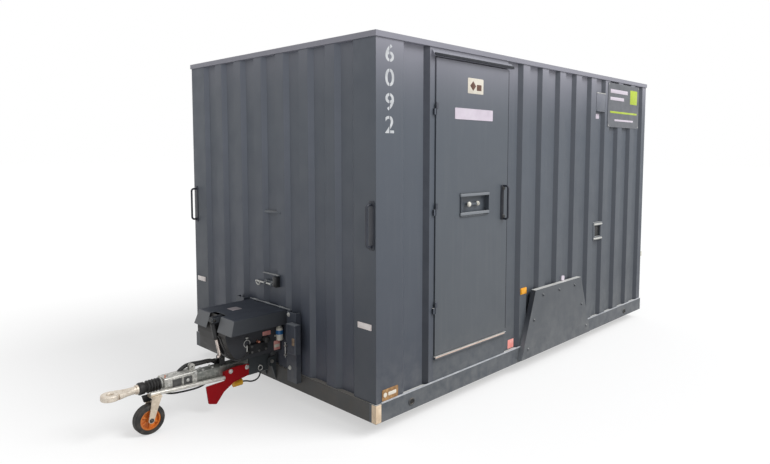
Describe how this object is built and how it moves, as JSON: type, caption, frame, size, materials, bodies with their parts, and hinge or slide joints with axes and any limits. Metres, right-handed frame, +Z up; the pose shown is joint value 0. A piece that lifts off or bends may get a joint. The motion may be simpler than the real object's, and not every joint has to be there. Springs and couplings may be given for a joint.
{
  "type": "portable site cabin",
  "caption": "Towable steel site cabin with corrugated walls, a steel door in one side, wheel covers and a ram-lifted drawbar with jockey wheel.",
  "frame": {"origin": "on the ground under the middle of the cabin, on the underside of the middle cross bearer", "axes": "+Z up, -X towards the tow eye, -Y out of the door side"},
  "size_m": [5.136, 2.379, 2.495],
  "materials": {
    "grey_paint": "satin",
    "floor_board": "matte",
    "bare_steel": "brushed",
    "black_steel": "satin",
    "board_face": "satin",
    "white_plastic": "matte",
    "galvanised": "satin",
    "red_paint": "satin",
    "yellow_plastic": "matte",
    "rod_chrome": "polished",
    "forged_steel": "matte",
    "black_rubber": "matte",
    "tyre_rubber": "matte",
    "orange_plastic": "satin"
  },
  "bodies": {
    "cabin": {"side_bottom_rails": "grey_paint", "end_bottom_rails": "grey_paint", "side_top_rails": "grey_paint", "end_top_rails": "grey_paint", "corner_posts": "grey_paint", "front_wall": "grey_paint", "rear_wall": "grey_paint", "left_wall": "grey_paint", "right_wall_front": "grey_paint", "right_wall_rear": "grey_paint", "floor_deck": "floor_board", "chassis_beams": "grey_paint", "cross_bearers": "grey_paint", "roof_panel": "grey_paint", "door_jamb_front": "grey_paint", "door_jamb_rear": "grey_paint", "door_head": "grey_paint", "kick_panel": "grey_paint", "door_sill": "bare_steel", "drip_rail": "grey_paint", "grab_handles": "black_steel", "wheel_covers": "grey_paint", "sign_board": "board_face", "rear_markers": "white_plastic", "mast_posts": "grey_paint", "latch_box": "grey_paint", "pump_box": "grey_paint", "hood_lid": "grey_paint", "ram_bracket": "grey_paint", "drawbar_lugs": "grey_paint", "drawbar_pin": "bare_steel", "hand_pump": "black_steel", "fluid_bottle": "white_plastic"},
    "door": {"door_upper_panel": "grey_paint", "door_lock_rail": "grey_paint", "door_lower_panel": "grey_paint", "door_hinges": "grey_paint", "door_lock": "grey_paint", "door_handle": "black_steel"},
    "drawbar": {"drawbar_beam": "grey_paint", "coupling_tube": "galvanised", "coupling_housing": "galvanised", "ram_lug": "black_steel", "jockey_fork": "galvanised", "jockey_arm": "galvanised", "jockey_bracket": "red_paint", "plug_cap": "yellow_plastic", "bellows": "black_rubber"},
    "ram_barrel": {"ram_barrel": "black_steel"},
    "ram_rod": {"ram_rod": "rod_chrome"},
    "jockey_wheel": {"jockey_tyre": "tyre_rubber", "jockey_rim": "orange_plastic"},
    "tow_eye": {"tow_eye": "forged_steel"},
    "handbrake": {"handbrake_lever": "bare_steel"}
  },
  "joints": [
    {"name": "door_hinge", "type": "hinge", "parent": "cabin", "child": "door", "pos_m": [-1.413, -1.151, 1], "axis": [0, 0, -1], "range_deg": [0, 110]},
    {"name": "drawbar_lift", "type": "hinge", "parent": "cabin", "child": "drawbar", "pos_m": [-1.992, 0, 0.24], "axis": [0, 1, 0], "range_deg": [0, 5]},
    {"name": "ram_swing", "type": "hinge", "parent": "cabin", "child": "ram_barrel", "pos_m": [-2.415, 0, 0.618], "axis": [0, 1, 0], "range_deg": [-3.71, 0]},
    {"name": "ram_slide", "type": "slide", "parent": "ram_barrel", "child": "ram_rod", "axis": [0.1906, 0, -0.9817], "range_m": [-0.0295, 0]},
    {"name": "jockey_spin", "type": "hinge", "parent": "drawbar", "child": "jockey_wheel", "pos_m": [-2.89, -0.058, 0.094], "axis": [0, 1, 0], "continuous": true},
    {"name": "overrun_slide", "type": "slide", "parent": "drawbar", "child": "tow_eye", "axis": [1, 0, 0], "range_m": [0, 0.045], "deforming": ["bellows"]},
    {"name": "handbrake_pull", "type": "hinge", "parent": "drawbar", "child": "handbrake", "pos_m": [-2.575, 0, 0.337], "axis": [0, -1, 0], "range_deg": [0, 70]}
  ],
  "couplings": [
    {"joint": "ram_swing", "follows": "drawbar_lift", "ratio": -0.73307},
    {"joint": "ram_slide", "follows": "drawbar_lift", "m_per_rad": -0.33228}
  ]
}
